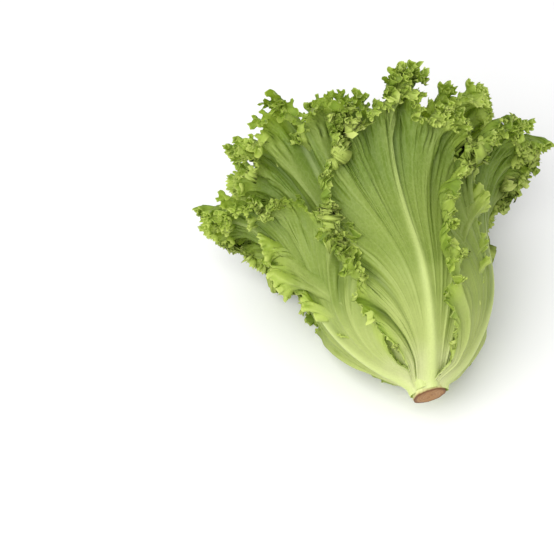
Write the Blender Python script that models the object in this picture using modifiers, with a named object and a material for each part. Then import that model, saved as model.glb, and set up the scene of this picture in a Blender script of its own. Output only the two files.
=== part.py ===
# Head of coral lettuce lying on its side: a cut stem and the frilled leaves that grow from it in a spiral.
# Metres, +Z up. The head's axis runs along +Y from the cut stem to the crown, and it rests on z = 0.

import math
import bpy
import numpy as np
from mathutils import Matrix, Vector

# Driving dimensions of the stem and leaves; a span is how far round the axis a leaf reaches to each side
STEM_RADIUS = 0.0115
STEM_LENGTH = 0.064
STEM_TIP_RADIUS = 0.0022
STEM_BEVEL = 0.0008
OUTER_LENGTH = 0.216
HEART_LENGTH = 0.138
OUTER_SPAN = 66.0
HEART_SPAN = 58.0
LOWEST_FOOT = 0.0020
HIGHEST_FOOT = 0.0580
FOOT_THICKNESS = 0.0018
BLADE_THICKNESS = 0.0009
GAP = 0.0004

# How the head lies: its upper part is pressed flat by its weight, and the crown is raised a little
FLATTEN = 0.76
FLATTEN_FROM = 0.052
FLATTEN_OVER = 0.090
TILT = math.radians(10)
AXIS_HEIGHT = 0.037
LAYER_STEP = 0.034
LOWEST_DEPTH = 0.08

# Leaning of a leaf away from the axis, in degrees, at these shares of its length
STATIONS = (0.0, 0.2, 0.45, 0.7, 1.0)
LEAN_OUTER = (58, 42, 6, 28, 92)
LEAN_MIDDLE = (43, 27, 5, 22, 66)
LEAN_HEART = (16, 8, 3, 8, 28)
MIDDLE_DEPTH = 0.45
TOP_TIP_LEAN = 0.6
LEAN_SMOOTHING = (1001, 501)
MERIDIAN_STEPS = 8400
MERIDIAN_OVERRUN = 1.05

# Outline of a blade: where it is widest and where its frill begins, as shares of its length,
# how its base clasps the stem and widens above it, how its ribs leave the foot, and where its sides roll
WIDEST_AT = 0.64
FRILL_FROM = 0.09
STALK_SPAN = 54.0
BASE_WIDENING = 1.25
BASE_FULLNESS = 0.45
RIB_SPREAD = 1.5
RIB_REACH = 0.62
ROLL_FROM = 0.55
ROLL_STARTS = 0.05
ROLL_GROWS_OVER = 0.35
THICK_UP_TO = 0.5

# Frill along the margin, wide waves and then small ones on them: spacing, height and how far in they reach;
# a side keeps its share of it past the tip
FRILLS = (
    dict(spacing=0.032, height=0.0068, reach=0.026, outward=0.3),
    dict(spacing=0.017, height=0.0034, reach=0.010, outward=0.1),
)
FRILL_SWING = 0.06
FRILL_STRAY = 0.30
STRAY_WAVES = (2.7, 4.1, 6.3)
FRILL_AT_FOOT = 0.12
FRILL_FULL_AFTER = 0.5
FRILL_FADE = 1.3
FRILL_LOSS_INWARDS = 0.35
TIP_SHARE = 0.15
SIDE_BLEND = 0.3

# The band next to the margin curls outwards, by a turn that strays along it
CURL_REACH = 0.026
CURL_TURN = 60.0
CURL_STRAY = 35.0
CURL_SPACING = 0.047
CURL_LOSS_INWARDS = 0.8
CURL_WAVES = (1, 1.7, 2.9)

# Grid of a blade: fine steps along the margin, and the rows from foot to margin that are kept,
# each with how many of those steps it skips
FINE_STEPS = 256
FINE_ROWS = 40
ROW_CROWDING = 1.6
EVEN_SHARE = 0.7
OUTER_ROWS = ((0, 16), (6, 16), (12, 16), (18, 16), (24, 8), (30, 8), (35, 4), (40, 2))
COVERED_ROWS = ((0, 16), (6, 16), (12, 16), (18, 16), (24, 8), (32, 4), (40, 2))
HEART_ROWS = ((0, 32), (6, 32), (13, 32), (21, 16), (31, 8), (40, 4))

# The outer leaves: azimuth from straight up towards +X, depth in the head,
# the turn of each rolled side, and the share of the frill that each side keeps
OUTER_LEAVES = {
    "leaf_right": dict(azimuth=74, depth=0.0, roll_left=85, roll_right=45, span=66),
    "leaf_front": dict(azimuth=7, depth=0.08, roll_left=130, frill_right=0.1, length=0.220, span=50),
    "leaf_under_right": dict(azimuth=152, depth=0.08, roll_right=20, frill_left=0),
    "leaf_left": dict(azimuth=-86, depth=0.145, roll_right=15, frill_right=0.1, frill_left=0.1,
                      span=60, length=0.200),
    "leaf_upper_left": dict(azimuth=-34, depth=0.245, frill_right=0.1, frill_left=0.1,
                            span=58, length=0.206),
    "leaf_under_left": dict(azimuth=-163, depth=0.240, frill_right=0, frill_left=0.1, span=60),
    "leaf_upper_right": dict(azimuth=47, depth=0.320, frill_right=0.1, frill_left=0, span=58),
}
# Leaves that lie under the outermost ones, with fewer rows, and the spiral of the heart
COVERED_LEAVES = ("leaf_upper_left", "leaf_under_left", "leaf_upper_right")
HEART_LEAVES = 15
HEART_FROM = 0.43
HEART_START = -15.0
HEART_FRILL = 0.12
HEART_SEED = 20
GOLDEN_ANGLE = 137.5
STEM_TAPER = 1.3
STEM_RINGS = 9
STEM_SIDES = 24
LENGTH_TAPER = 1.6

COLOUR_OUTER = (0.33, 0.47, 0.11, 1)
COLOUR_HEART = (0.42, 0.56, 0.16, 1)
COLOUR_STEM = (0.50, 0.40, 0.22, 1)


def smooth(x):
    """Rises from 0 to 1 with level ends."""
    x = np.clip(x, 0, 1)
    return x * x * (3 - 2 * x)


def unit(v):
    """Vectors at length one."""
    return v / np.maximum(np.linalg.norm(v, axis=-1, keepdims=True), 1e-12)


def stem_radius(height):
    """The stem tapers from its cut face to a rounded tip."""
    return STEM_RADIUS + (STEM_TIP_RADIUS - STEM_RADIUS) * np.clip(height / STEM_LENGTH, 0, 1) ** STEM_TAPER


def lean_at(depth, azimuth):
    """Lean at the stations for a depth of 0 at the outermost leaf to 1 at the heart; tips on top lean less."""
    leans = zip(LEAN_OUTER, LEAN_MIDDLE, LEAN_HEART)
    lean = [np.interp(depth, (0, MIDDLE_DEPTH, 1), three) for three in leans]
    on_top = 0.5 + 0.5 * math.cos(math.radians(azimuth))
    lean[-1] *= 1 + (TOP_TIP_LEAN - 1) * on_top
    return lean


def make_leaf(azimuth, depth, **given):
    """A leaf's numbers: those given, and the rest from its depth in the head."""
    leaf = dict(azimuth=azimuth, depth=depth, roll_left=0, roll_right=0, frill_left=1.0, frill_right=1.0,
                length=OUTER_LENGTH + (HEART_LENGTH - OUTER_LENGTH) * depth ** LENGTH_TAPER,
                span=OUTER_SPAN + (HEART_SPAN - OUTER_SPAN) * depth, lean=lean_at(depth, azimuth))
    leaf.update(given)
    leaf["foot_height"] = LOWEST_FOOT + (HIGHEST_FOOT - LOWEST_FOOT) * depth
    leaf["foot_thickness"] = FOOT_THICKNESS + (BLADE_THICKNESS - FOOT_THICKNESS) * depth
    leaf["foot_radius"] = stem_radius(leaf["foot_height"]) + GAP + leaf["foot_thickness"] / 2
    leaf["half_width"] = math.radians(leaf["span"]) * meridian(leaf, WIDEST_AT * leaf["length"])[0]
    leaf["stalk_half"] = math.radians(STALK_SPAN) * leaf["foot_radius"]
    return leaf


def meridian(leaf, s):
    """Distance from the axis, height and lean after a length s along the leaf's middle."""
    fine = np.linspace(0, leaf["length"] * MERIDIAN_OVERRUN, MERIDIAN_STEPS + 1)
    lean = np.radians(np.interp(fine, np.array(STATIONS) * leaf["length"], leaf["lean"]))
    for window in LEAN_SMOOTHING:
        total = np.cumsum(np.pad(lean, (window // 2 + 1, window // 2), mode="edge"))
        lean = (total[window:] - total[:-window]) / window
    step = fine[1]
    radius = leaf["foot_radius"] + np.concatenate([[0], np.cumsum(np.sin(lean[:-1]))]) * step
    height = leaf["foot_height"] + np.concatenate([[0], np.cumsum(np.cos(lean[:-1]))]) * step
    return np.interp(s, fine, radius), np.interp(s, fine, height), np.interp(s, fine, lean)


def outline(leaf, t):
    """Margin of the flat blade from the left foot (t = -1) over the tip (0) to the right foot (1)."""
    length, half = leaf["length"], leaf["half_width"]
    widest, bare = WIDEST_AT * length, FRILL_FROM * length
    foot = leaf["stalk_half"] * BASE_WIDENING
    over = np.clip(np.abs(t) / 0.5, 0, 1) * math.pi / 2
    down = np.clip((np.abs(t) - 0.5) / 0.5, 0, 1)
    side = foot + (half - foot) * (0.5 + 0.5 * np.cos(math.pi * down)) ** BASE_FULLNESS
    x = np.where(down > 0, side, half * np.sin(over))
    y = np.where(down > 0, widest - (widest - bare) * down, widest + (length - widest) * np.cos(over))
    return np.sign(t) * x, y


def flat_blade(leaf, t, r):
    """Points of the flat blade: each t is a rib from the foot that bends out to its place on the margin."""
    margin_x, margin_y = (edge[:, None] for edge in outline(leaf, t))
    foot = (leaf["stalk_half"] * t)[:, None]
    start, bend, end = (1 - r) ** 2, 2 * r * (1 - r), r ** 2
    return (start + bend * RIB_SPREAD) * foot + end * margin_x, (bend * RIB_REACH + end) * margin_y


def rolled(x, start, turn, reach):
    """Bends what lies past start into an arc of this turn: where it comes to, and how far it lifts."""
    past = np.clip(np.abs(x) - start, 0, None)
    curve = max(turn, 1e-4) / reach
    across = np.where(past > 0, start + np.sin(curve * past) / curve, np.abs(x))
    return np.sign(x) * across, (1 - np.cos(curve * past)) / curve


def blade(leaf, t, r):
    """The blade without its frill, wrapped round the head's axis, its sides rolled outwards."""
    x, y = flat_blade(leaf, t, r)
    half = leaf["half_width"]
    grow = smooth((y / leaf["length"] - ROLL_STARTS) / ROLL_GROWS_OVER)
    lift, bent = np.zeros_like(x), x
    for side, turn in ((-1, leaf["roll_left"]), (1, leaf["roll_right"])):
        across, up = rolled(x, ROLL_FROM * half, math.radians(turn), (1 - ROLL_FROM) * half)
        here = (np.sign(x) == side) * grow
        bent = bent + (across - x) * here
        lift = lift + up * here
    radius, height, lean = meridian(leaf, y)
    angle = math.radians(leaf["azimuth"]) + bent / np.maximum(radius, leaf["stalk_half"])
    sideways, upwards = np.sin(angle), np.cos(angle)
    normal = np.stack([sideways * np.cos(lean), -np.sin(lean), upwards * np.cos(lean)], -1)
    return np.stack([radius * sideways, height, radius * upwards], -1) + normal * lift[..., None]


def frames(points):
    """Directions on a grid of points: along the margin, and out of the surface."""
    along, out = unit(np.gradient(points, axis=0)), unit(np.gradient(points, axis=1))
    return along, unit(np.cross(along, out))


def along_margin(points):
    """Length along the margin, the last row of a grid of points."""
    steps = np.linalg.norm(np.diff(points[:, -1], axis=0), axis=-1)
    return np.concatenate([[0], np.cumsum(steps)])


def from_margin(points):
    """Distance of each point in from the margin."""
    steps = np.linalg.norm(np.diff(points, axis=1), axis=-1)
    inward = np.zeros(points.shape[:2])
    inward[:, :-1] = np.cumsum(steps[:, ::-1], axis=1)[:, ::-1]
    return inward


def strays(random, s, spacing, waves):
    """A slow wander between about -1 and 1 along s: the mean of waves this many spacings long."""
    return sum(np.sin(2 * math.pi * (s / (spacing * k) + random.uniform())) for k in waves) / len(waves)


def curled(points, inward, turn):
    """Bends the band next to the margin into an arc that turns outwards."""
    normal = frames(points)[1]
    out = unit(np.gradient(points, axis=1))
    past = np.clip(CURL_REACH - inward, 0, None)
    curve = np.maximum(turn, 0.05)[:, None] / CURL_REACH
    back = past - np.sin(curve * past) / curve
    up = (1 - np.cos(curve * past)) / curve
    return points - out * back[..., None] + normal * up[..., None]


def frilled(leaf, points, t, seed):
    """The curl, then waves that fade inwards: they lift the surface and swing it along the margin."""
    random = np.random.default_rng(seed)
    inward = from_margin(points)
    rise = smooth((outline(leaf, t)[1] / leaf["length"] - FRILL_FROM) / FRILL_FULL_AFTER)
    side = np.where(t < 0, leaf["frill_left"], leaf["frill_right"])
    side = 1 + (side - 1) * smooth((np.abs(t) - TIP_SHARE) / SIDE_BLEND)
    strength = (FRILL_AT_FOOT + (1 - FRILL_AT_FOOT) * rise) * side * (1 - FRILL_LOSS_INWARDS * leaf["depth"])
    wander = strays(random, along_margin(points), CURL_SPACING, CURL_WAVES)
    turn = np.radians(CURL_TURN + CURL_STRAY * wander) * (1 - CURL_LOSS_INWARDS * leaf["depth"])
    points = curled(points, inward, turn * strength)
    for frill in FRILLS:
        s = along_margin(points)
        spacing = s[-1] / round(s[-1] / frill["spacing"])
        stray = strays(random, s, spacing, STRAY_WAVES)
        phase = 2 * math.pi * (s / spacing + FRILL_STRAY * stray + random.uniform())
        reach = np.exp(-(inward / frill["reach"]) ** FRILL_FADE) * strength[:, None]
        along, normal = frames(points)
        lift = frill["height"] * (np.sin(phase) + frill["outward"])[:, None] * reach
        swing = -FRILL_SWING * spacing * np.sin(2 * phase)[:, None] * reach
        points = points + normal * lift[..., None] + along * swing[..., None]
    return points


def lay_down(points, floor):
    """Flattens the head's upper part, raises the crown, and keeps the blade's middle above its floor."""
    x, y, z = points[..., 0], points[..., 1], points[..., 2]
    z = z * (1 - (1 - FLATTEN) * smooth((y - FLATTEN_FROM) / FLATTEN_OVER))
    y, z = y * math.cos(TILT) - z * math.sin(TILT), y * math.sin(TILT) + z * math.cos(TILT)
    return np.stack([x, y, np.maximum(z + AXIS_HEIGHT, floor)], -1)


def join_rows(rows):
    """Triangles between rows of vertex numbers; a row has as many steps as the last or twice as many."""
    faces = []
    for low, high in zip(rows, rows[1:]):
        double = len(high) > len(low)
        for k in range(len(low) - 1):
            if double:
                a, b, c = high[2 * k], high[2 * k + 1], high[2 * k + 2]
                faces += [(low[k], b, a), (low[k], low[k + 1], b), (low[k + 1], c, b)]
            elif k % 2:
                faces += [(low[k], low[k + 1], high[k + 1]), (low[k], high[k + 1], high[k])]
            else:
                faces += [(low[k], low[k + 1], high[k]), (low[k + 1], high[k + 1], high[k])]
    return faces


def material(name, colour, roughness):
    """A plain material in this colour."""
    made = bpy.data.materials.new(name)
    made.use_nodes = True
    shader = made.node_tree.nodes["Principled BSDF"]
    shader.inputs["Base Color"].default_value = colour
    shader.inputs["Roughness"].default_value = roughness
    shader.inputs["Metallic"].default_value = 0.0
    return made


def add_leaf(name, leaf, seed, rows, collection, look):
    """One leaf: its frilled blade as an open surface, thickened from the foot's thickness to the blade's."""
    t = np.linspace(-1, 1, FINE_STEPS + 1)
    s = along_margin(blade(leaf, t, np.array([1.0])))
    spread = EVEN_SHARE * s / s[-1] + (1 - EVEN_SHARE) * (t + 1) / 2
    t = np.interp(np.linspace(0, 1, FINE_STEPS + 1), spread, t)
    r = 1 - np.linspace(1, 0, FINE_ROWS + 1) ** ROW_CROWDING
    thick_share = 1 - smooth(r / THICK_UP_TO)
    thickness = BLADE_THICKNESS + (leaf["foot_thickness"] - BLADE_THICKNESS) * thick_share
    floor = thickness / 2 + LAYER_STEP * max(leaf["depth"] - LOWEST_DEPTH, 0)
    points = lay_down(frilled(leaf, blade(leaf, t, r), t, seed), floor)
    vertices, weights, numbers = [], [], []
    for row, step in rows:
        picked = points[::step, row]
        numbers.append(range(len(vertices), len(vertices) + len(picked)))
        vertices += picked.tolist()
        weights += [thick_share[row]] * len(picked)
    mesh = bpy.data.meshes.new(name)
    mesh.from_pydata(vertices, [], join_rows(numbers))
    mesh.shade_smooth()
    mesh.materials.append(look)
    leaf_object = bpy.data.objects.new(name, mesh)
    collection.objects.link(leaf_object)
    thick = leaf_object.vertex_groups.new(name="thick")
    for number, weight in enumerate(weights):
        thick.add([number], float(weight), "REPLACE")
    shell = leaf_object.modifiers.new("Solidify", "SOLIDIFY")
    shell.thickness = leaf["foot_thickness"]
    shell.offset = 0
    shell.vertex_group = "thick"
    shell.thickness_vertex_group = BLADE_THICKNESS / leaf["foot_thickness"]
    return leaf_object


def add_stem(collection, look):
    """The stem: a turned profile with a bevelled cut face at its foot, closed at both ends."""
    heights = np.linspace(0, STEM_LENGTH - STEM_TIP_RADIUS, STEM_RINGS)
    profile = [(0, STEM_LENGTH)]
    for turn in (math.radians(60), math.radians(30)):
        profile.append((STEM_TIP_RADIUS * math.cos(turn), heights[-1] + STEM_TIP_RADIUS * math.sin(turn)))
    profile += [(float(stem_radius(h)), float(h)) for h in heights[:0:-1]]
    profile += [(STEM_RADIUS, STEM_BEVEL), (STEM_RADIUS - STEM_BEVEL, 0), (0, 0)]
    mesh = bpy.data.meshes.new("stem")
    mesh.from_pydata([(x, 0, z) for x, z in profile], [(k, k + 1) for k in range(len(profile) - 1)], [])
    mesh.materials.append(look)
    stem = bpy.data.objects.new("stem", mesh)
    collection.objects.link(stem)
    lathe = stem.modifiers.new("Screw", "SCREW")
    lathe.steps = lathe.render_steps = STEM_SIDES
    lathe.use_merge_vertices = True
    lathe.merge_threshold = 0.00001
    stem.matrix_world = Matrix.Translation((0, 0, AXIS_HEIGHT)) @ Matrix.Rotation(TILT - math.pi / 2, 4, "X")
    return stem


def centre_on_origin(objects):
    """Moves everything in the plane so that the middle of the whole head's box is over the origin."""
    bpy.context.view_layer.update()
    graph = bpy.context.evaluated_depsgraph_get()
    corners = []
    for item in objects:
        shown = item.evaluated_get(graph)
        corners += [shown.matrix_world @ vertex.co for vertex in shown.data.vertices]
    low = Vector(min(corner[axis] for corner in corners) for axis in range(3))
    high = Vector(max(corner[axis] for corner in corners) for axis in range(3))
    shift = Vector((-(low.x + high.x) / 2, -(low.y + high.y) / 2, 0))
    for item in objects:
        item.location += shift


def build():
    """Clears the scene and makes the head."""
    for item in list(bpy.data.objects):
        bpy.data.objects.remove(item)
    collection = bpy.data.collections.new("coral_lettuce")
    bpy.context.scene.collection.children.link(collection)
    outer_look = material("outer_leaf", COLOUR_OUTER, 0.45)
    heart_look = material("heart_leaf", COLOUR_HEART, 0.45)
    objects = [add_stem(collection, material("stem", COLOUR_STEM, 0.6))]
    for seed, (name, numbers) in enumerate(OUTER_LEAVES.items(), 1):
        rows = COVERED_ROWS if name in COVERED_LEAVES else OUTER_ROWS
        objects.append(add_leaf(name, make_leaf(**numbers), seed, rows, collection, outer_look))
    for k in range(HEART_LEAVES):
        depth = HEART_FROM + (1 - HEART_FROM) * k / (HEART_LEAVES - 1)
        azimuth = HEART_START + GOLDEN_ANGLE * k
        leaf = make_leaf(azimuth, depth, frill_left=HEART_FRILL, frill_right=HEART_FRILL)
        name = f"heart_leaf_{k + 1:02d}"
        objects.append(add_leaf(name, leaf, HEART_SEED + k, HEART_ROWS, collection, heart_look))
    centre_on_origin(objects)


build()
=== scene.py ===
import math
import bpy
import numpy as np
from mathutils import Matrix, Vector


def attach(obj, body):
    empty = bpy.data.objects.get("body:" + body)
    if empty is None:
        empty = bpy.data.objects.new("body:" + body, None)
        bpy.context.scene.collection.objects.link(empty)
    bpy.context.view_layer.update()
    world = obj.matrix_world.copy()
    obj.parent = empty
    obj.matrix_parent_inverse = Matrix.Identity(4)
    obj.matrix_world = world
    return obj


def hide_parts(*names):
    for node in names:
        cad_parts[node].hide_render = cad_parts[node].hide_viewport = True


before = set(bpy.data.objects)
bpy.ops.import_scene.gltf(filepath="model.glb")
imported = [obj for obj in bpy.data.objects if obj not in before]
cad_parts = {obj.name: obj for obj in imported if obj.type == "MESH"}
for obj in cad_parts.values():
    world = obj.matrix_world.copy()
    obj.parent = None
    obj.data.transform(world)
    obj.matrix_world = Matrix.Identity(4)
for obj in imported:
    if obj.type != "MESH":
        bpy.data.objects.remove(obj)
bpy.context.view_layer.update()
print("frame loaded,", len(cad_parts), "nodes")

# How the head lies, in metres and degrees: its axis leaves the middle of the cut face and rises by the tilt
head = dict(
    cutCentre=(-0.007633, -0.100905, 0.037),
    tilt=10,
    flatten=0.76,          # how high the upper part stays under its own weight
    flattenFrom=0.052, flattenOver=0.090,
    layerStep=0.034,       # how much further a leaf stays off the table for each unit of depth
    lowestDepth=0.08,      # up to this depth a leaf lies on the table itself
    softness=0.0012,       # how gently a leaf meets the table
    pressed=0.0004,        # how much lower a fold pressed flat from far below lies than one from just below,
    pressedOver=20,        # and over how many times the softness that comes about
)

# Every leaf: depth is 0 at the outermost leaf and 1 at the heart, and spans, leans and rolls are in degrees.
# A lean is given at each station, a share of the leaf's length; widestAt and bareBelow are such shares too
growth = dict(
    outerLength=0.216, heartLength=0.138, lengthTaper=1.6,
    outerSpan=66, heartSpan=58, stalkSpan=54,
    stations=(0.0, 0.2, 0.45, 0.7, 1.0),
    leanOuter=(58, 42, 6, 28, 92), leanMiddle=(43, 27, 5, 22, 66), leanHeart=(16, 8, 3, 8, 28),
    middleDepth=0.45, topTipLean=0.6,
    meridianPoints=8401, meridianWindows=(1001, 501), meridianBeyond=1.05,
    stemRadius=0.0115, stemTipRadius=0.0022, stemLength=0.064, stemTaper=1.3,
    lowestFoot=0.0020, highestFoot=0.0580, footGap=0.0004, footThickness=0.0018, bladeThickness=0.0009,
    footReach=0.018, footEnd=0.0012, footDrop=0.8, footSunk=0.0008,
    widestAt=0.64, bareBelow=0.09, baseWidening=1.25, baseFullness=0.45,
    ribSpread=1.5, ribReach=0.62,
    rollFrom=0.55, rollBelow=0.05, rollRise=0.35, leastRoll=1e-4,
)

# The outer leaves: roll and frill on the left and right as seen from outside, frill as a share of the full
# one. Span, length, tipLean, frillFrom and frillRise are given where they differ from what the depth brings
outerLeaves = {
    "leaf_right": dict(azimuth=73, depth=0.0, rollLeft=80, rollRight=45, frillLeft=0.78, span=66, tipLean=78),
    "leaf_front": dict(azimuth=7, depth=0.08, rollLeft=100, frillLeft=0.78, frillRight=0.35, span=50,
                       length=0.225),
    "leaf_under_right": dict(azimuth=152, depth=0.08, rollRight=20, frillLeft=0.1),
    "leaf_left": dict(azimuth=-86, depth=0.145, rollLeft=20, rollRight=15, frillRight=0.6, span=60,
                      length=0.200, frillFrom=0.36, frillRise=0.22),
    "leaf_upper_left": dict(azimuth=-31, depth=0.245, frillLeft=0.9, frillRight=0.1, span=58, length=0.222),
    "leaf_under_left": dict(azimuth=-163, depth=0.240, frillLeft=0.1, frillRight=0.1, span=60),
    "leaf_upper_right": dict(azimuth=56, depth=0.320, frillLeft=0.05, frillRight=1.0, span=60, length=0.212),
}
coveredLeaves = ("leaf_under_right", "leaf_upper_left", "leaf_under_left", "leaf_upper_right")

# The leaves of the heart, each turned on from the one before
spiral = dict(leaves=15, start=-15, turn=137.5, fromDepth=0.43, frill=0.3, firstSeed=20)

# The frill: each size of wave has its spacing along the margin, its height, how far in it reaches, how wide
# the rows are in which it swaps its crests and hollows, how much it swings along the margin, leans outwards
# and strays, how strong its pleats down the blade are, how narrow its valleys are, how many times longer it
# makes the margin, and the most that its height may be scaled for that
frill = dict(
    waves=(
        dict(spacing=0.052, height=0.0072, reach=0.045, rows=0.4, swing=0.04, outward=0.3, stray=0.40,
             pleat=0.90, valley=1.3, growth=1.18, tallest=1.1),
        dict(spacing=0.027, height=0.0098, reach=0.032, rows=0.2, swing=0.10, outward=0.4, stray=0.35,
             pleat=0.22, valley=1.2, growth=1.7, tallest=1.6),
        dict(spacing=0.0130, height=0.0056, reach=0.032, rows=0.036, swing=0.13, outward=0.1, stray=0.40,
             pleat=0.0, valley=1.0, growth=2.2, tallest=2.2),
        dict(spacing=0.0060, height=0.0026, reach=0.0165, rows=0.018, swing=0.13, outward=0.0, stray=0.40,
             pleat=0.0, valley=1.0, growth=2.0, tallest=2.2),
    ),
    # the share of a wave over which the blade's normal is evened out, and how the waves stray and fade
    stiffness=0.40, strayWaves=(2.7, 4.1, 6.3), rowStray=0.35, fade=1.3,
    # how far down the blade the pleats reach, how close they come before they fade, and how uneven they are
    pleatReach=0.070, pleatsMerge=0.010, pleatStray=0.8,
    # how the height of a wave is found from the growth of the margin
    growthTries=5, growthPower=1.5, growthSteps=(0.3, 2), growthEase=0.5, leastGrown=0.01,
    # the strength of the frill along the margin and in the heart, as shares of the full one
    atFoot=0.12, fullAfter=0.5, sideFrom=0.15, sideOver=0.3, lossInwards=0.35, curlLossInwards=0.8,
    # the outward curl of the margin, in degrees, its lobes, and the teeth of its rim
    curlReach=0.030, curlTurn=72, curlStray=32, curlSpacing=0.047, curlWaves=(1, 1.7, 2.9), leastCurl=0.05,
    lobes=0.0105, lobeReach=0.022, lobeSpacing=0.021, lobeWaves=(1, 1.6, 2.7), rimPower=1.5,
    teeth=0.0022, teethReach=0.0026, teethSpacing=0.0042, teethWaves=(2.3, 3.7, 7.1), teethStray=0.25,
    toothVariety=0.8, toothShift=31, toothRounding=0.8, toothMiddle=0.6,
    # the coarse grid on which all of it is planned: points along the margin, rows, and how far in they go
    planPoints=4001, planRows=13, planShare=0.35,
)

# Ribs on the back of a leaf, in metres: half width and height at the foot and at the tip of the midrib, and
# for each level of side ribs how many a wave has, their place on it, the spacing from which they appear and
# over how much more, their width and height, and their share of the rib colour
ribs = dict(
    midWidth=(0.0052, 0.0010), midHeight=(0.0026, 0.0004), midTaper=0.6, midFade=0.80, sideFade=0.75,
    onCrest=0.25, variety=0.35, varietyPhase=(12.9, 3),
    levels=(
        dict(perWave=1, shift=0.0, appears=0.0040, over=0.0100, width=0.0018, height=0.0010, colour=0.50),
        dict(perWave=1, shift=0.5, appears=0.0090, over=0.0120, width=0.0012, height=0.0006, colour=0.34),
        dict(perWave=2, shift=0.5, appears=0.0080, over=0.0080, width=0.0007, height=0.0003, colour=0.20),
    ),
)


def smooth(x):
    # 0 to 1 with level ends: 3x squared less 2x cubed
    x = np.clip(x, 0, 1)
    return x * x * (3 - 2 * x)


def unit(v):
    # each vector over its length
    return v / np.maximum(np.linalg.norm(v, axis=-1, keepdims=True), 1e-12)


def falling(distance, reach, power):
    # 1 at no distance, then e to less than zero: the distance over the reach, to the power
    return np.exp(-(distance / reach) ** power)


def tilted(y, z):
    # a turn by the head's tilt about the x axis
    tilt = math.radians(head["tilt"])
    return y * math.cos(tilt) - z * math.sin(tilt), y * math.sin(tilt) + z * math.cos(tilt)


def stemRadiusAt(height):
    # cut radius to tip radius, by the share of the height to a power
    g = growth
    share = np.clip(height / g["stemLength"], 0, 1) ** g["stemTaper"]
    return g["stemRadius"] + (g["stemTipRadius"] - g["stemRadius"]) * share


def leanAt(depth, azimuth):
    # straight line between outer, middle and heart leans; tips on top lean less
    g = growth
    leans = zip(g["leanOuter"], g["leanMiddle"], g["leanHeart"])
    lean = [np.interp(depth, (0, g["middleDepth"], 1), three) for three in leans]
    onTop = 0.5 + 0.5 * math.cos(math.radians(azimuth))
    lean[-1] *= 1 + (g["topTipLean"] - 1) * onTop
    return lean


def makeLeaf(azimuth, depth, **given):
    # the given numbers, and the rest from the depth: straight lines from the outermost leaf to the heart, and
    # for the length a power of the depth
    g = growth
    leaf = dict(azimuth=azimuth, depth=depth, rollLeft=0, rollRight=0, frillLeft=1.0, frillRight=1.0,
                length=g["outerLength"] + (g["heartLength"] - g["outerLength"]) * depth ** g["lengthTaper"],
                span=g["outerSpan"] + (g["heartSpan"] - g["outerSpan"]) * depth, lean=leanAt(depth, azimuth))
    leaf.update(given)
    leaf["lean"][-1] = leaf.get("tipLean", leaf["lean"][-1])
    leaf["footHeight"] = g["lowestFoot"] + (g["highestFoot"] - g["lowestFoot"]) * depth
    leaf["footThickness"] = g["footThickness"] + (g["bladeThickness"] - g["footThickness"]) * depth
    leaf["footRadius"] = stemRadiusAt(leaf["footHeight"]) + g["footGap"] + leaf["footThickness"] / 2
    leaf["halfWidth"] = math.radians(leaf["span"]) * meridian(leaf, g["widestAt"] * leaf["length"])[0]
    leaf["stalkHalf"] = math.radians(g["stalkSpan"]) * leaf["footRadius"]
    return leaf


def meridian(leaf, s):
    # radius and height are the running sums of sine and cosine of the lean along the middle of the leaf; the
    # lean is straight lines between its stations, evened out by running means
    g = growth
    fine = np.linspace(0, leaf["length"] * g["meridianBeyond"], g["meridianPoints"])
    lean = np.radians(np.interp(fine, np.array(g["stations"]) * leaf["length"], leaf["lean"]))
    for window in g["meridianWindows"]:
        total = np.cumsum(np.pad(lean, (window // 2 + 1, window // 2), mode="edge"))
        lean = (total[window:] - total[:-window]) / window
    radius = leaf["footRadius"] + np.concatenate([[0], np.cumsum(np.sin(lean[:-1]))]) * fine[1]
    height = leaf["footHeight"] + np.concatenate([[0], np.cumsum(np.cos(lean[:-1]))]) * fine[1]
    return np.interp(s, fine, radius), np.interp(s, fine, height), np.interp(s, fine, lean)


def outline(leaf, t):
    # half an ellipse over the top (t within a half), then sides that draw in to the foot on a cosine
    g = growth
    length, half = leaf["length"], leaf["halfWidth"]
    widest, bare = g["widestAt"] * length, g["bareBelow"] * length
    foot = leaf["stalkHalf"] * g["baseWidening"]
    over = np.clip(np.abs(t) / 0.5, 0, 1) * math.pi / 2
    down = np.clip((np.abs(t) - 0.5) / 0.5, 0, 1)
    side = foot + (half - foot) * (0.5 + 0.5 * np.cos(math.pi * down)) ** g["baseFullness"]
    x = np.where(down > 0, side, half * np.sin(over))
    y = np.where(down > 0, widest - (widest - bare) * down, widest + (length - widest) * np.cos(over))
    return np.sign(t) * x, y


def flatBlade(leaf, t, r):
    # a quadratic curve for each t, from the foot (r = 0) to its place on the margin (r = 1)
    g = growth
    marginX, marginY = (edge[:, None] for edge in outline(leaf, t))
    foot = (leaf["stalkHalf"] * t)[:, None]
    start, bend, end = (1 - r) ** 2, 2 * r * (1 - r), r ** 2
    return (start + bend * g["ribSpread"]) * foot + end * marginX, (bend * g["ribReach"] + end) * marginY


def rolled(x, start, turn, reach):
    # past the start a straight line becomes an arc of this turn: sine across, one less cosine up
    past = np.clip(np.abs(x) - start, 0, None)
    curve = max(turn, growth["leastRoll"]) / reach
    across = np.where(past > 0, start + np.sin(curve * past) / curve, np.abs(x))
    return np.sign(x) * across, (1 - np.cos(curve * past)) / curve


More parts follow.
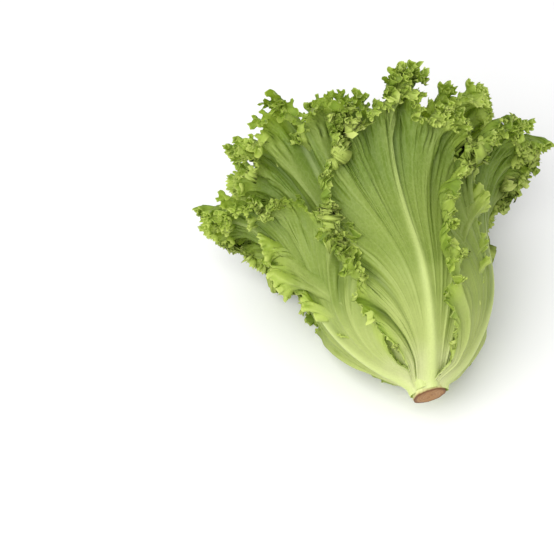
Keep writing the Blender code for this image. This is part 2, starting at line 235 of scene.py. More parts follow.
def blade(leaf, t, r):
    # the flat blade wrapped round the head's axis on its meridian, its sides rolled outwards
    g = growth
    x, y = flatBlade(leaf, t, r)
    half, start = leaf["halfWidth"], g["rollFrom"]
    grow = smooth((y / leaf["length"] - g["rollBelow"]) / g["rollRise"])
    lift, bent = np.zeros_like(x), x
    for side, turn in ((-1, leaf["rollLeft"]), (1, leaf["rollRight"])):
        across, up = rolled(x, start * half, math.radians(turn), (1 - start) * half)
        here = (np.sign(x) == side) * grow
        bent = bent + (across - x) * here
        lift = lift + up * here
    radius, height, lean = meridian(leaf, y)
    # the lowest part is drawn down along the stem and its end is sunk into it
    low = 1 - smooth(y / g["footReach"])
    height = height - low * (leaf["footHeight"] - g["footEnd"]) * g["footDrop"]
    radius = radius + low * (stemRadiusAt(height) - g["footSunk"] - radius)
    angle = math.radians(leaf["azimuth"]) + bent / np.maximum(radius, leaf["stalkHalf"])
    normal = np.stack([np.sin(angle) * np.cos(lean), -np.sin(lean), np.cos(angle) * np.cos(lean)], -1)
    points = np.stack([radius * np.sin(angle), height, radius * np.cos(angle)], -1)
    return points + normal * lift[..., None]


def frames(points):
    # unit steps along the margin and out towards it, and their cross product at unit length
    along, out = unit(np.gradient(points, axis=0)), unit(np.gradient(points, axis=1))
    return along, out, unit(np.cross(along, out))


def alongMargin(points):
    # running sum of the steps along the last column
    steps = np.linalg.norm(np.diff(points[:, -1], axis=0), axis=-1)
    return np.concatenate([[0], np.cumsum(steps)])


def fromMargin(points):
    # running sum of the steps inwards from the margin
    steps = np.linalg.norm(np.diff(points, axis=1), axis=-1)
    inward = np.zeros(points.shape[:2])
    inward[:, :-1] = np.cumsum(steps[:, ::-1], axis=1)[:, ::-1]
    return inward


def frillStrength(leaf, t):
    # rises from the foot to the crown, and is weaker on covered sides and inner leaves
    f = frill
    start, rise = leaf.get("frillFrom", growth["bareBelow"]), leaf.get("frillRise", f["fullAfter"])
    rise = smooth((outline(leaf, t)[1] / leaf["length"] - start) / rise)
    side = np.where(t < 0, leaf["frillLeft"], leaf["frillRight"])
    side = 1 + (side - 1) * smooth((np.abs(t) - f["sideFrom"]) / f["sideOver"])
    return (f["atFoot"] + (1 - f["atFoot"]) * rise) * side * (1 - f["lossInwards"] * leaf["depth"])


def wandering(random, s, spacing, multiples):
    # the mean of sines along the margin, each a multiple of the spacing long and shifted at random
    sines = [np.sin(2 * math.pi * (s / (spacing * k) + random.uniform())) for k in multiples]
    return sum(sines) / len(sines)


def lobed(points, inward, size):
    # the margin is pushed out and in along the blade, less with the distance from it
    out = frames(points)[1]
    return points + out * (size[:, None] * falling(inward, frill["lobeReach"], frill["rimPower"]))[..., None]


def curled(points, inward, turn):
    # the band next to the margin becomes an arc that turns outwards: sine along the blade, one less cosine up
    _, out, normal = frames(points)
    past = np.clip(frill["curlReach"] - inward, 0, None)
    curve = np.maximum(turn, frill["leastCurl"])[:, None] / frill["curlReach"]
    back = past - np.sin(curve * past) / curve
    up = (1 - np.cos(curve * past)) / curve
    return points - out * back[..., None] + normal * up[..., None]


def crests(phase, valley):
    # a sine whose crests are broad and whose valleys are narrow: one less twice a power of its depth
    return 1 - 2 * ((1 - np.sin(phase)) / 2) ** valley


def calmed(vectors, window):
    # running mean along the margin
    total = np.cumsum(np.pad(vectors, ((window + 1, window), (0, 0), (0, 0)), mode="edge"), axis=0)
    return unit(total[2 * window + 1:] - total[:-2 * window - 1])


def waved(points, inward, wave, phase, size, stray):
    # lift along the normal by the phase's crests, which swap with the hollows from row to row inwards, and
    # swing along the margin by the sine of twice the phase; returns the points, and the crests and the pleats
    # as shares
    f = frill
    along, _, normal = frames(points)
    perWave = len(points) * 2 * math.pi / (phase[-1] - phase[0])
    normal = calmed(normal, max(1, round(perWave * f["stiffness"])))
    fading = falling(inward, wave["reach"], f["fade"])
    near = fading * np.cos(2 * math.pi * inward / wave["rows"] * (1 + f["rowStray"] * stray)[:, None])
    far = wave["pleat"] * (1 + f["pleatStray"] * stray)[:, None] * falling(inward, f["pleatReach"], 2)
    # pleats fade where they draw together towards the foot
    steps = np.linalg.norm(np.gradient(points, axis=0), axis=-1)
    wide = steps * 2 * math.pi / np.abs(np.gradient(phase))[:, None]
    far = far * smooth((wide - f["pleatsMerge"]) / f["pleatsMerge"])
    crest = crests(phase, wave["valley"])
    lift = wave["height"] * (crest * size)[:, None] * np.maximum(near, far)
    lift = lift + wave["height"] * wave["outward"] * size[:, None] * fading
    swing = -wave["swing"] * wave["spacing"] * (np.sin(2 * phase) * size)[:, None] * near
    points = points + normal * lift[..., None] + along * swing[..., None]
    return points, crest[:, None] * near, crest[:, None] * far


def toothed(points, inward, phase, size):
    # the rim is pulled out and in again by a saw with rounded valleys
    _, out, _ = frames(points)
    saw = np.abs(np.sin(phase / 2)) ** frill["toothRounding"] - frill["toothMiddle"]
    pull = frill["teeth"] * falling(inward, frill["teethReach"], frill["rimPower"]) * (saw * size)[:, None]
    return points - out * pull[..., None]


def scaledWave(points, inward, wave, spacing, phase, strength, stray):
    # the wave's height along the margin, scaled until every stretch has grown by what is asked for it
    f = frill
    s, size = alongMargin(points), strength
    low, high = np.clip(s - spacing, 0, s[-1]), np.clip(s + spacing, 0, s[-1])
    asked = (wave["growth"] - 1) * strength ** f["growthPower"]
    for attempt in range(f["growthTries"]):
        new = alongMargin(waved(points, inward, wave, phase, size, stray)[0])
        grown = (np.interp(high, s, new) - np.interp(low, s, new)) / (high - low) - 1
        short = asked / np.maximum(grown, f["leastGrown"])
        size = size * np.clip(short, *f["growthSteps"]) ** f["growthEase"]
    return np.minimum(size, wave["tallest"])


def planFrill(leaf, seed):
    # every wave's phase along the margin, each measured on the margin that the wave before it left
    f = frill
    random = np.random.default_rng(seed)
    t = np.linspace(-1, 1, f["planPoints"])
    s = alongMargin(blade(leaf, t, np.array([1.0])))
    t = np.interp(np.linspace(0, s[-1], f["planPoints"]), s, t)
    r = 1 - np.linspace(1, 0, f["planRows"]) ** 2 * f["planShare"]
    points = blade(leaf, t, r)
    inward = fromMargin(points)
    strength = frillStrength(leaf, t)
    s = alongMargin(points)
    curl = f["curlTurn"] + f["curlStray"] * wandering(random, s, f["curlSpacing"], f["curlWaves"])
    curl = np.radians(curl) * strength * (1 - f["curlLossInwards"] * leaf["depth"])
    lobe = f["lobes"] * wandering(random, s, f["lobeSpacing"], f["lobeWaves"]) * strength
    points = curled(lobed(points, inward, lobe), inward, curl)
    waves = []
    for wave in f["waves"]:
        s = alongMargin(points)
        spacing = s[-1] / round(s[-1] / wave["spacing"])
        stray = wandering(random, s, spacing, f["strayWaves"])
        phase = 2 * math.pi * (s / spacing + wave["stray"] * stray + random.uniform())
        size = scaledWave(points, inward, wave, spacing, phase, strength, stray)
        waves.append((phase, size, stray))
        points = waved(points, inward, wave, phase, size, stray)[0]
    s = alongMargin(points)
    bite = wandering(random, s, f["teethSpacing"], f["teethWaves"])
    phase = 2 * math.pi * (s / f["teethSpacing"] + f["teethStray"] * bite)
    size = strength ** 0.5 * (1 + f["toothVariety"] * np.roll(bite, f["toothShift"]))
    return dict(t=t, s=s, waves=waves, lobe=lobe, curl=curl, teeth=(phase, size))


def ribbed(points, leaf, plan, t, r):
    # the midrib and the side ribs as bell curves of the distance from their lines; returns the relief, in
    # metres, and its share for the colour
    x, y = flatBlade(leaf, t, r)
    share = np.clip(y / leaf["length"], 0, 1)
    taper = share ** ribs["midTaper"]
    width, height = (low + (high - low) * taper for low, high in (ribs["midWidth"], ribs["midHeight"]))
    middle = falling(x, width, 2) * (1 - smooth((share - ribs["midFade"]) / (1 - ribs["midFade"])))
    relief, colour = height * middle, middle
    waves = np.interp(t, plan["t"], plan["waves"][0][0]) / (2 * math.pi)
    steps = np.linalg.norm(np.gradient(points, axis=0), axis=-1)
    metresPerWave = steps / np.abs(np.gradient(waves))[:, None]
    sideFading = 1 - smooth((share - ribs["sideFade"]) / (1 - ribs["sideFade"]))
    faster, shift = ribs["varietyPhase"]
    for level in ribs["levels"]:
        spacing = metresPerWave / level["perWave"]
        count = waves * level["perWave"] + level["shift"] - ribs["onCrest"] * level["perWave"] + 0.5
        place = count % 1 - 0.5
        strong = 1 - ribs["variety"] + ribs["variety"] * np.sin(np.floor(count) * faster + shift)
        bell = falling(place[:, None] * spacing, level["width"], 2) * strong[:, None] * sideFading
        bell = bell * smooth((spacing - level["appears"]) / level["over"])
        relief = np.maximum(relief, level["height"] * bell)
        colour = np.maximum(colour, level["colour"] * bell)
    return relief, colour


def frilled(leaf, plan, t, r):
    # the ribs, the curl and then the planned waves on the blade, the widest first
    points = blade(leaf, t, r)
    inward = fromMargin(points)
    relief, rib = ribbed(points, leaf, plan, t, r)
    points = points + frames(points)[2] * relief[..., None]
    points = lobed(points, inward, np.interp(t, plan["t"], plan["lobe"]))
    points = curled(points, inward, np.interp(t, plan["t"], plan["curl"]))
    crest, fold = np.zeros(inward.shape), np.zeros(inward.shape)
    for wave, values in zip(frill["waves"], plan["waves"]):
        phase, size, stray = (np.interp(t, plan["t"], value) for value in values)
        points, waveCrest, pleat = waved(points, inward, wave, phase, size, stray)
        crest = crest + waveCrest
        fold = fold + pleat * size[:, None]
    phase, size = (np.interp(t, plan["t"], values) for values in plan["teeth"])
    return toothed(points, inward, phase, size), inward, rib, crest, fold


def layDown(points, floor):
    # flatten the upper part, tilt by the head's angle, and press softly on the table: a soft maximum
    h = head
    x, y, z = points[..., 0], points[..., 1], points[..., 2]
    z = z * (1 - (1 - h["flatten"]) * smooth((y - h["flattenFrom"]) / h["flattenOver"]))
    y, z = tilted(y, z)
    over = (z + h["cutCentre"][2] - floor) / h["softness"]
    z = floor + h["softness"] * np.logaddexp(0, over)
    # folds pressed flat keep their order: each sinks a little more, by an exponential of how far below it was
    z = z - h["pressed"] * (1 - np.exp(np.minimum(over, 0) / h["pressedOver"]))
    return np.stack([x + h["cutCentre"][0], y + h["cutCentre"][1], z], -1)


def joinRows(rows):
    # quads between rows of as many points; three triangles for each step where the next row has twice as many
    quads, triangles = [], []
    for low, high in zip(rows, rows[1:]):
        if len(low) == len(high):
            quads.append(np.stack([low[:-1], low[1:], high[1:], high[:-1]], -1))
        else:
            a, b, c = high[:-2:2], high[1::2], high[2::2]
            triangles += [np.stack([low[:-1], b, a], -1), np.stack([low[:-1], low[1:], b], -1)]
            triangles += [np.stack([low[1:], c, b], -1)]
    faces = np.concatenate(quads).tolist()
    return faces + np.concatenate(triangles).tolist() if triangles else faces


def newPiece(name, points, faces, attributes, look):
    # a mesh object at the origin, with its attributes and its material
    mesh = bpy.data.meshes.new(name)
    mesh.from_pydata(points.tolist(), [], faces)
    mesh.shade_smooth()
    for label, values in attributes.items():
        attribute = mesh.attributes.new(label, "FLOAT", "POINT")
        attribute.data.foreach_set("value", values.astype(np.float32))
    mesh.materials.append(look)
    piece = bpy.data.objects.new(name, mesh)
    bpy.context.scene.collection.objects.link(piece)
    return piece


def addFlatMap(mesh, x, y):
    # a UV map of the blade laid flat, in metres
    flat = mesh.uv_layers.new(name="plan")
    corners = np.zeros(len(mesh.loops), np.int32)
    mesh.loops.foreach_get("vertex_index", corners)
    flat.data.foreach_set("uv", np.stack([x, y], -1)[corners].astype(np.float32).ravel())


# The grid of a leaf: how many columns along the margin and, from the foot to the margin, bands of rows: from,
# up to, how many, and of how many columns a row has one. marginShare is how far the columns keep to even
# steps along the frilled margin
grids = dict(
    outer=dict(columns=4096, bands=((0.0, 0.60, 24, 8), (0.63, 0.78, 8, 8), (0.80, 0.90, 8, 4),
                                    (0.91, 0.965, 6, 2), (0.974, 1.0, 5, 1))),
    covered=dict(columns=2048, bands=((0.0, 0.60, 20, 16), (0.63, 0.78, 6, 8), (0.80, 0.90, 7, 4),
                                      (0.91, 0.965, 6, 2), (0.974, 1.0, 5, 1))),
    heart=dict(columns=1536, bands=((0.0, 0.60, 12, 16), (0.63, 0.78, 5, 8), (0.81, 0.90, 6, 4),
                                    (0.91, 0.965, 5, 2), (0.974, 1.0, 4, 1))),
)
marginShare = 0.8


def leafPiece(name, leaf, seed, grid, look):
    # the frilled blade on every column and row, of which the mesh keeps what each band asks for
    plan = planFrill(leaf, seed)
    columns, bands = grid["columns"], grid["bands"]
    share = marginShare * plan["s"] / plan["s"][-1] + (1 - marginShare) * (plan["t"] + 1) / 2
    t = np.interp(np.linspace(0, 1, columns + 1), share, plan["t"])
    r = np.concatenate([np.linspace(low, high, count) for low, high, count, step in bands])
    steps = np.concatenate([[step] * count for low, high, count, step in bands])
    points, inward, rib, crest, fold = frilled(leaf, plan, t, r)
    floor = growth["bladeThickness"] / 2 + head["layerStep"] * max(leaf["depth"] - head["lowestDepth"], 0)
    points = layDown(points, floor)
    rows, picked, first = [], [], 0
    for row, step in enumerate(steps):
        here = np.arange(0, columns + 1, step) * len(r) + row
        picked.append(here)
        rows.append(np.arange(first, first + len(here)))
        first += len(here)
    picked = np.concatenate(picked)
    attributes = dict(edge=inward * 1000, rib=rib, crest=crest, fold=fold)
    attributes = {label: values.ravel()[picked] for label, values in attributes.items()}
    piece = newPiece(name, points.reshape(-1, 3)[picked], joinRows(rows), attributes, look)
    addFlatMap(piece.data, *(values.ravel()[picked] for values in flatBlade(leaf, t, r)))
    triangles = len(piece.data.loops) - 2 * len(piece.data.polygons)
    print(name, triangles, "triangles, margin", round(float(plan["s"][-1]), 2), "m")
    return piece


class Value:
    # a socket of a material; arithmetic on it adds Math nodes
    def __init__(self, tree, socket):
        self.tree, self.socket = tree, socket

    def math(self, operation, first, second):
        # one Math node: the operation on the first and the second
        return node(self.tree, "ShaderNodeMath", dict(operation=operation), {0: first, 1: second})

    def __add__(self, other):
        return self.math("ADD", self, other)

    def __sub__(self, other):
        return self.math("SUBTRACT", self, other)

    def __rsub__(self, other):
        return self.math("SUBTRACT", other, self)

    def __mul__(self, other):
        return self.math("MULTIPLY", self, other)

    __radd__ = __add__
    __rmul__ = __mul__


def node(tree, kind, settings, inputs, output=0):
    # a new node: its settings first, then a link or a value for each input
    made = tree.nodes.new(kind)
    for key, value in settings.items():
        setattr(made, key, value)
    for key, value in inputs.items():
        if isinstance(value, Value):
            tree.links.new(value.socket, made.inputs[key])
        else:
            made.inputs[key].default_value = value
    return Value(tree, made.outputs[output])


def newMaterial(name):
    # an empty material with its tree
    made = bpy.data.materials.new(name)
    made.use_nodes = True
    made.node_tree.nodes.clear()
    return made, made.node_tree


def showShader(tree, shader):
    # the shader goes to the material's output
    out = tree.nodes.new("ShaderNodeOutputMaterial")
    tree.links.new(shader.socket, out.inputs["Surface"])


def linear(red, green, blue):
    # screen colour out of 255 to linear: a power of 2.4 above a short straight part
    shares = (red / 255, green / 255, blue / 255)
    return tuple(c / 12.92 if c < 0.04045 else ((c + 0.055) / 1.055) ** 2.4 for c in shares) + (1.0,)


def rising(tree, value, start, end):
    # 0 to 1 between start and end, with level ends
    return node(tree, "ShaderNodeMapRange", dict(interpolation_type="SMOOTHSTEP"),
                {"Value": value, "From Min": start, "From Max": end, "To Min": 0.0, "To Max": 1.0})


def mixed(tree, share, first, second, blend="MIX"):
    # first to second colour by the share; the numbers are the Mix node's sockets for colours
    settings = dict(data_type="RGBA", blend_type=blend)
    return node(tree, "ShaderNodeMix", settings, {0: share, 6: first, 7: second}, 2)


def attributeOf(tree, name):
    # a float attribute of the mesh
    return node(tree, "ShaderNodeAttribute", dict(attribute_name=name), {}, "Fac")


def noise(tree, place, scale, detail, output="Fac"):
    # cloudy noise, 0 to 1, so many times in a metre
    inputs = {"Vector": place, "Scale": scale, "Detail": detail}
    return node(tree, "ShaderNodeTexNoise", {}, inputs, output)


# The skin of a leaf: colours as they look on screen, up to where along the leaf they go (metres), how far in
# from the margin the rim and the frill go (millimetres), and the patterns, in metres or times in a metre.
# A name with Rise or Range holds the two ends of a change, in metres along the leaf or as pattern values.
# Then the shares of the colours, and the surface
leafSkin = dict(
    colours=dict(
        foot=(230, 234, 172), stalk=(190, 203, 118), blade=(146, 166, 74), upper=(116, 141, 48),
        # the hollow colour is painted shade for the frill's hollows; the rim colour is the margin's own paler
        # colour and also painted light on the frill's crests
        rib=(206, 219, 138), frill=(172, 194, 80), rim=(212, 224, 124), hollowShade=(104, 132, 36),
        # the valley colour is a darker green for the pleats' valleys, partly their own deeper green and
        # partly painted shade
        patch=(104, 132, 40), valley=(88, 110, 40), lit=(168, 196, 48),
    ),
    footUpTo=0.035, stalkUpTo=0.100, bladeUpTo=0.180, wander=0.035,
    rimFrom=0.3, rimWide=1.6, frillFrom=4.0, frillWide=24, frillWander=8,
    patchSize=0.030, grainScale=900.0, fibreScale=1400.0, fibreStretch=0.12,
    veinNet=0.0026, veinStretch=0.55, veinBend=0.004, veinBendScale=160.0, veinWidth=(0.02, 0.16),
    veinsRise=(0.05, 0.11), patchesRise=(0.03, 0.1), ribsRise=(0.02, 0.17), fibresRise=(0.05, 0.13),
    patchRange=(0.45, 0.75), valleyShadeRange=(-0.7, 0.1), ridgeRange=(0.1, 0.7),
    # the hollow and crest ranges, and the hollows and crests shares below, set the painted shade in the
    # frill's hollows and the painted light on its crests
    hollowShadeRange=(-2.0, 0.2), crestLightRange=(0.0, 2.0),
    patches=0.35, veins=0.10, ribs=(0.95, 0.60), fibres=0.5, valleyShade=0.7, ridges=0.3,
    frill=0.8, shadeInHollows=0.75, crests=0.35, rim=0.55, tone=(0.90, 0.20),
    bump=0.35, bumpHeight=0.0006, bumpOf=dict(net=0.35, grain=0.25, fibres=0.3, clouds=0.6),
    roughness=0.40, roughnessVariety=0.18, ribShine=0.05, specular=0.4, ior=1.42,
    through=0.26, ribThickness=0.6,
)


def veinNet(tree, plan, along):
    # crooked small veins: the borders between cells of the flat blade, bent by noise, above the pale foot
    k = leafSkin
    bend = noise(tree, plan, k["veinBendScale"], 2.0, "Color")
    bend = node(tree, "ShaderNodeVectorMath", dict(operation="SUBTRACT"), {0: bend, 1: (0.5, 0.5, 0.5)})
    bend = node(tree, "ShaderNodeVectorMath", dict(operation="SCALE"), {0: bend, "Scale": k["veinBend"]})
    bent = node(tree, "ShaderNodeVectorMath", dict(operation="ADD"), {0: plan, 1: bend})
    long = node(tree, "ShaderNodeMapping", {}, {"Vector": bent, "Scale": (1.0, k["veinStretch"], 1.0)})
    cells = node(tree, "ShaderNodeTexVoronoi", dict(feature="DISTANCE_TO_EDGE"),
                 {"Vector": long, "Scale": 1 / k["veinNet"]}, "Distance")
    return (1 - rising(tree, cells, *k["veinWidth"])) * rising(tree, along, *k["veinsRise"])


def leafLook(name, shade):
    # pale foot to green crown along the leaf, then ribs, vein net, the pleats' valleys darker, partly as
    # painted shade, and the frill and its rim, with painted shade in its hollows and painted light on its
    # crests; the argument shade scales how much the grain brightens it
    k = leafSkin
    c = {label: linear(*colour) for label, colour in k["colours"].items()}
    made, tree = newMaterial(name)
    plan = node(tree, "ShaderNodeUVMap", dict(uv_map="plan"), {})
    place = node(tree, "ShaderNodeTexCoord", {}, {}, "Object")
    edge, rib, crest, fold = (attributeOf(tree, label) for label in ("edge", "rib", "crest", "fold"))
    clouds = noise(tree, place, 1 / k["patchSize"], 5.0)
    grain = noise(tree, place, k["grainScale"], 4.0)
    long = node(tree, "ShaderNodeMapping", {}, {"Vector": plan, "Scale": (1.0, k["fibreStretch"], 1.0)})
    fibres = noise(tree, long, k["fibreScale"], 3.0)
    along = node(tree, "ShaderNodeSeparateXYZ", {}, {0: plan}, "Y") + (clouds - 0.5) * k["wander"]
    net = veinNet(tree, plan, along)
    # along the leaf
    colour = mixed(tree, rising(tree, along, 0.0, k["footUpTo"]), c["foot"], c["stalk"])
    colour = mixed(tree, rising(tree, along, k["footUpTo"], k["stalkUpTo"]), colour, c["blade"])
    colour = mixed(tree, rising(tree, along, k["stalkUpTo"], k["bladeUpTo"]), colour, c["upper"])
    # patches, veins, ribs, fibres near the foot, and the pleats' valleys, a darker green that is partly
    # painted shade, and ridges
    patches = rising(tree, clouds, *k["patchRange"]) * k["patches"] * rising(tree, along, *k["patchesRise"])
    colour = mixed(tree, patches, colour, c["patch"])
    colour = mixed(tree, net * k["veins"], colour, c["rib"])
    atFoot, lessAbove = k["ribs"]
    pale = rib * (atFoot - rising(tree, along, *k["ribsRise"]) * lessAbove)
    colour = mixed(tree, pale, colour, c["rib"])
    streaks = (fibres - 0.5) * k["fibres"] * (1 - rising(tree, along, *k["fibresRise"]))
    colour = mixed(tree, streaks, colour, c["patch"])
    # the pleats' valleys darkened: partly their own deeper green, partly painted shade
    colour = mixed(tree, (1 - rising(tree, fold, *k["valleyShadeRange"])) * k["valleyShade"], colour, c["valley"])
    colour = mixed(tree, rising(tree, fold, *k["ridgeRange"]) * k["ridges"], colour, c["stalk"])
    # the frill, with painted shade in its hollows, painted light on its crests in the rim colour, and its
    # brighter rim
    near = 1 - rising(tree, edge + (clouds - 0.5) * k["frillWander"], k["frillFrom"], k["frillWide"])
    colour = mixed(tree, near * k["frill"], colour, c["frill"])
    # painted shade in the frill's hollows
    hollowShade = near * (1 - rising(tree, crest, *k["hollowShadeRange"])) * k["shadeInHollows"]
    colour = mixed(tree, hollowShade, colour, c["hollowShade"])
    rim = (1 - rising(tree, edge + (grain - 0.5), k["rimFrom"], k["rimWide"])) * k["rim"]
    # painted light on the frill's crests, in the rim colour
    crestLight = near * rising(tree, crest, *k["crestLightRange"]) * k["crests"]
    colour = mixed(tree, crestLight + rim, colour, c["rim"])
    least, more = k["tone"]
    tone = least + grain * more * shade
    grey = node(tree, "ShaderNodeCombineColor", {}, {0: tone, 1: tone, 2: tone})
    colour = mixed(tree, 1.0, colour, grey, "MULTIPLY")
    b = k["bumpOf"]
    height = net * b["net"] + grain * b["grain"] + fibres * b["fibres"] + clouds * b["clouds"]
    bump = node(tree, "ShaderNodeBump", {},
                {"Height": height, "Strength": k["bump"], "Distance": k["bumpHeight"]}, "Normal")
    roughness = k["roughness"] + clouds * k["roughnessVariety"] - rib * k["ribShine"]
    skin = node(tree, "ShaderNodeBsdfPrincipled", {}, {
        "Base Color": colour, "Roughness": roughness, "Normal": bump,
        "Specular IOR Level": k["specular"], "IOR": k["ior"]})
    # some of the light comes through, less of it through ribs
    lit = node(tree, "ShaderNodeBsdfTranslucent", {}, {"Color": c["lit"]})
    through = k["through"] * (1 - rib * k["ribThickness"])
    showShader(tree, node(tree, "ShaderNodeMixShader", {}, {0: through, 1: skin, 2: lit}))
    return made


outerLook = leafLook("outerLeaf", 1.0)
heartLook = leafLook("heartLeaf", 1.1)
for seed, (name, numbers) in enumerate(outerLeaves.items(), 1):
    grid = grids["covered"] if name in coveredLeaves else grids["outer"]
    piece = leafPiece(name + "_frilled", makeLeaf(**numbers), seed, grid, outerLook)
    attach(piece, "root")
    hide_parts(name)
print("outer leaves done,", len(outerLeaves))
for number in range(spiral["leaves"]):
    depth = spiral["fromDepth"] + (1 - spiral["fromDepth"]) * number / (spiral["leaves"] - 1)
    azimuth = spiral["start"] + spiral["turn"] * number
    leaf = makeLeaf(azimuth, depth, frillLeft=spiral["frill"], frillRight=spiral["frill"])
    name = f"heart_leaf_{number + 1:02d}"
    piece = leafPiece(name + "_frilled", leaf, spiral["firstSeed"] + number, grids["heart"], heartLook)
    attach(piece, "root")
    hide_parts(name)
print("heart leaves done,", spiral["leaves"])

# The stem: a turned form whose cut face is a little rough, with the scars of leaves below its edge. First its
# grid, then its relief in metres and turns, its colours, and the two ends of each of their changes, in
# millimetres up from the cut, as shares of the radius or as values of a pattern
stem = dict(
    around=160, tipGap=0.0001, sideUpTo=0.010, nearCut=0.0095, sideRows=30, nearCutRows=16, faceRows=22,
    bevel=0.0008, bevelMiddle=0.3, faceMiddle=0.0006,
    roughness=0.000175, roughWaves=((5, 900), (3, -1500)), roughRings=3300, ringSway=2,
    scars=0.00030, scarTurns=11, scarRings=1500, scarTwist=2, scarFrom=0.002,
    outOfRound=((2, 1, 0.03), (5, 0, 0.015)),
    colours=dict(cut=(178, 136, 92), rings=(142, 98, 58), edge=(112, 70, 38), side=(214, 220, 150),
                 stain=(170, 150, 96)),
    ringTurns=34.0, ringWander=7.0, rings=(0.25, 0.3), spotScale=420.0, fineScale=1900.0, spots=0.5,
    stain=0.9, stainWander=3.0,
    spotRange=(0.5, 0.75), edgeRange=(0.74, 0.96), stainRange=(1.0, 5.0), brownRange=(0.5, 1.9),
    faceRange=(0.05, 0.7),
    bump=0.5, bumpHeight=0.0005, bumpOf=dict(spots=0.6, fine=0.4, rings=0.1),
    roughFrom=0.55, roughVariety=0.25, specular=0.35,
)


def stemPiece():
    # rows of points round the axis from the tip down the side and over the cut face to its middle: radius by
    # height, plus waves and noise made of a few sines
    g, m = growth, stem
    heights = np.concatenate([np.linspace(g["stemLength"] - m["tipGap"], m["sideUpTo"], m["sideRows"]),
                              np.linspace(m["nearCut"], m["bevel"], m["nearCutRows"])])
    bend = m["bevel"] * m["bevelMiddle"]
    radius = np.append(stemRadiusAt(heights), g["stemRadius"] - bend)
    radius = np.append(radius, np.linspace(g["stemRadius"] - m["bevel"], m["faceMiddle"], m["faceRows"]))
    heights = np.concatenate([heights, [bend], np.zeros(m["faceRows"])])
    turn = np.linspace(0, 2 * math.pi, m["around"], endpoint=False)
    h, radius, turn = heights[:, None], radius[:, None], turn[None]
    (turnsOne, outOne), (turnsTwo, outTwo) = m["roughWaves"]
    rough = np.sin(turnsOne * turn + radius * outOne) * np.sin(turnsTwo * turn + radius * outTwo)
    rough = rough + np.sin(radius * m["roughRings"] + m["ringSway"] * np.sin(turn))
    scar = np.sin(m["scarTurns"] * turn) * np.sin(h * m["scarRings"] + m["scarTwist"] * turn)
    scar = scar * smooth(h / m["scarFrom"])
    oval = sum(size * np.sin(turns * turn + shift) for turns, shift, size in m["outOfRound"])
    spread = radius * (1 + oval) + scar * m["scars"]
    lift = h + rough * smooth((m["bevel"] - h) / m["bevel"]) * m["roughness"]
    points = np.stack([spread * np.sin(turn), lift, spread * np.cos(turn)], -1)
    tip, middle = (np.array([[0, y, 0]]) for y in (g["stemLength"], 0.0))
    x, y, z = np.concatenate([tip, points.reshape(-1, 3), middle]).T
    points = np.stack([x, *tilted(y, z)], -1) + head["cutCentre"]
    # quads between the rows, and a fan at the tip and at the middle of the cut
    around, rows = m["around"], len(heights)
    ring = np.arange(around)
    following = (ring + 1) % around
    low = 1 + np.arange(rows - 1)[:, None] * around
    sides = np.stack([low + ring, low + around + ring, low + around + following, low + following], -1)
    last = 1 + (rows - 1) * around
    caps = [np.stack([0 * ring, 1 + ring, 1 + following], -1),
            np.stack([0 * ring + last + around, last + following, last + ring], -1)]
    faces = sides.reshape(-1, 4).tolist() + np.concatenate(caps).tolist()
    across = np.broadcast_to(radius / g["stemRadius"], (rows, around)).ravel()
    up = np.broadcast_to(h, (rows, around)).ravel()
    attributes = dict(across=np.concatenate([[0], across, [0]]),
                      up=np.concatenate([[g["stemLength"]], up, [0]]) * 1000)
    return newPiece("stem_cut", points, faces, attributes, stemLook())


def stemLook():
    # pale side, stained towards the cut; rings by the distance from the axis, darker at the rim
    k = stem
    c = {label: linear(*colour) for label, colour in k["colours"].items()}
    made, tree = newMaterial("cutStem")
    place = node(tree, "ShaderNodeTexCoord", {}, {}, "Object")
    across, up = attributeOf(tree, "across"), attributeOf(tree, "up")
    spots = noise(tree, place, k["spotScale"], 5.0)
    fine = noise(tree, place, k["fineScale"], 4.0)
    rings = across * k["ringTurns"] + spots * k["ringWander"]
    rings = node(tree, "ShaderNodeMath", dict(operation="SINE"), {0: rings})
    swing, middle = k["rings"]
    face = mixed(tree, rings * swing + middle, c["cut"], c["rings"])
    face = mixed(tree, rising(tree, spots, *k["spotRange"]) * k["spots"], face, c["edge"])
    face = mixed(tree, rising(tree, across, *k["edgeRange"]), face, c["edge"])
    stain = (1 - rising(tree, up + spots * k["stainWander"], *k["stainRange"])) * k["stain"]
    side = mixed(tree, stain, c["side"], c["stain"])
    side = mixed(tree, 1 - rising(tree, up + spots, *k["brownRange"]), side, c["edge"])
    colour = mixed(tree, rising(tree, up, *k["faceRange"]), face, side)
    b = k["bumpOf"]
    height = spots * b["spots"] + fine * b["fine"] + rings * b["rings"]
    bump = node(tree, "ShaderNodeBump", {},
                {"Height": height, "Strength": k["bump"], "Distance": k["bumpHeight"]}, "Normal")
    roughness = k["roughFrom"] + fine * k["roughVariety"]
    showShader(tree, node(tree, "ShaderNodeBsdfPrincipled", {}, {
        "Base Color": colour, "Roughness": roughness, "Normal": bump,
        "Specular IOR Level": k["specular"]}))
    return made


piece = stemPiece()
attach(piece, "root")
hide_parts("stem")
print("stem done,", len(piece.data.polygons), "faces")

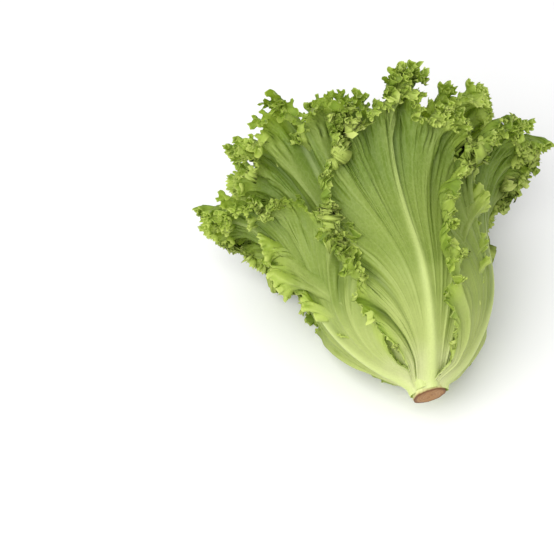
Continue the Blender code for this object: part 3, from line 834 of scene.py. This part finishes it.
# Table, light and camera: the camera looks down on the head from its cut end, turned a little to its left,
# and the middle of the cut lies on the photo's pixel cutAt
studio = dict(
    tableSize=6, paper=(0.9, 0.9, 0.9, 1), skyStrength=0.85,
    lampEnergy=8, lampSize=0.8, lampPlace=(-0.5, -0.3, 0.9), lampAim=(0, 0.1, 0),
    cameraTurn=-15, cameraRise=55, cameraDistance=0.9, metresAcross=0.3656, cutAt=(430, 396), pixels=554,
)


def layTable():
    # a plain square, far larger than the head
    bpy.ops.mesh.primitive_plane_add(size=studio["tableSize"])
    floor = bpy.context.object
    floor.name = "table"
    paper = bpy.data.materials.new("tablePaper")
    paper.use_nodes = True
    paper.node_tree.nodes["Principled BSDF"].inputs["Base Color"].default_value = studio["paper"]
    floor.data.materials.append(paper)


def lightStudio():
    # an even white sky and one soft box over the left shoulder
    world = bpy.data.worlds.new("studio")
    bpy.context.scene.world = world
    world.use_nodes = True
    sky = world.node_tree.nodes["Background"]
    sky.inputs["Color"].default_value = (1, 1, 1, 1)
    sky.inputs["Strength"].default_value = studio["skyStrength"]
    lamp = bpy.data.lights.new("softBox", "AREA")
    lamp.energy = studio["lampEnergy"]
    lamp.size = studio["lampSize"]
    box = bpy.data.objects.new("softBox", lamp)
    box.location = studio["lampPlace"]
    box.rotation_euler = (Vector(studio["lampAim"]) - box.location).to_track_quat("-Z", "Y").to_euler()
    bpy.context.scene.collection.objects.link(box)


def placeCamera():
    # back from the target by the distance; the target is the cut, less what the photo shows it off the middle
    s = studio
    camera = bpy.data.cameras.new("camera")
    camera.lens = camera.sensor_width * s["cameraDistance"] / s["metresAcross"]
    eye = bpy.data.objects.new("camera", camera)
    bpy.context.scene.collection.objects.link(eye)
    bpy.context.scene.camera = eye
    turn, rise = math.radians(s["cameraTurn"]), math.radians(s["cameraRise"])
    right = Vector((math.cos(turn), math.sin(turn), 0))
    back = Vector((math.sin(turn) * math.cos(rise), -math.cos(turn) * math.cos(rise), math.sin(rise)))
    up = back.cross(right)
    scale = s["metresAcross"] / s["pixels"]
    off = Vector((s["cutAt"][0] - s["pixels"] / 2, s["pixels"] / 2 - s["cutAt"][1])) * scale
    target = Vector(head["cutCentre"]) - right * off.x - up * off.y
    eye.location = target + back * s["cameraDistance"]
    eye.rotation_euler = (-back).to_track_quat("-Z", "Y").to_euler()


layTable()
lightStudio()
placeCamera()
bpy.context.scene.view_settings.view_transform = "Standard"
print("studio done")
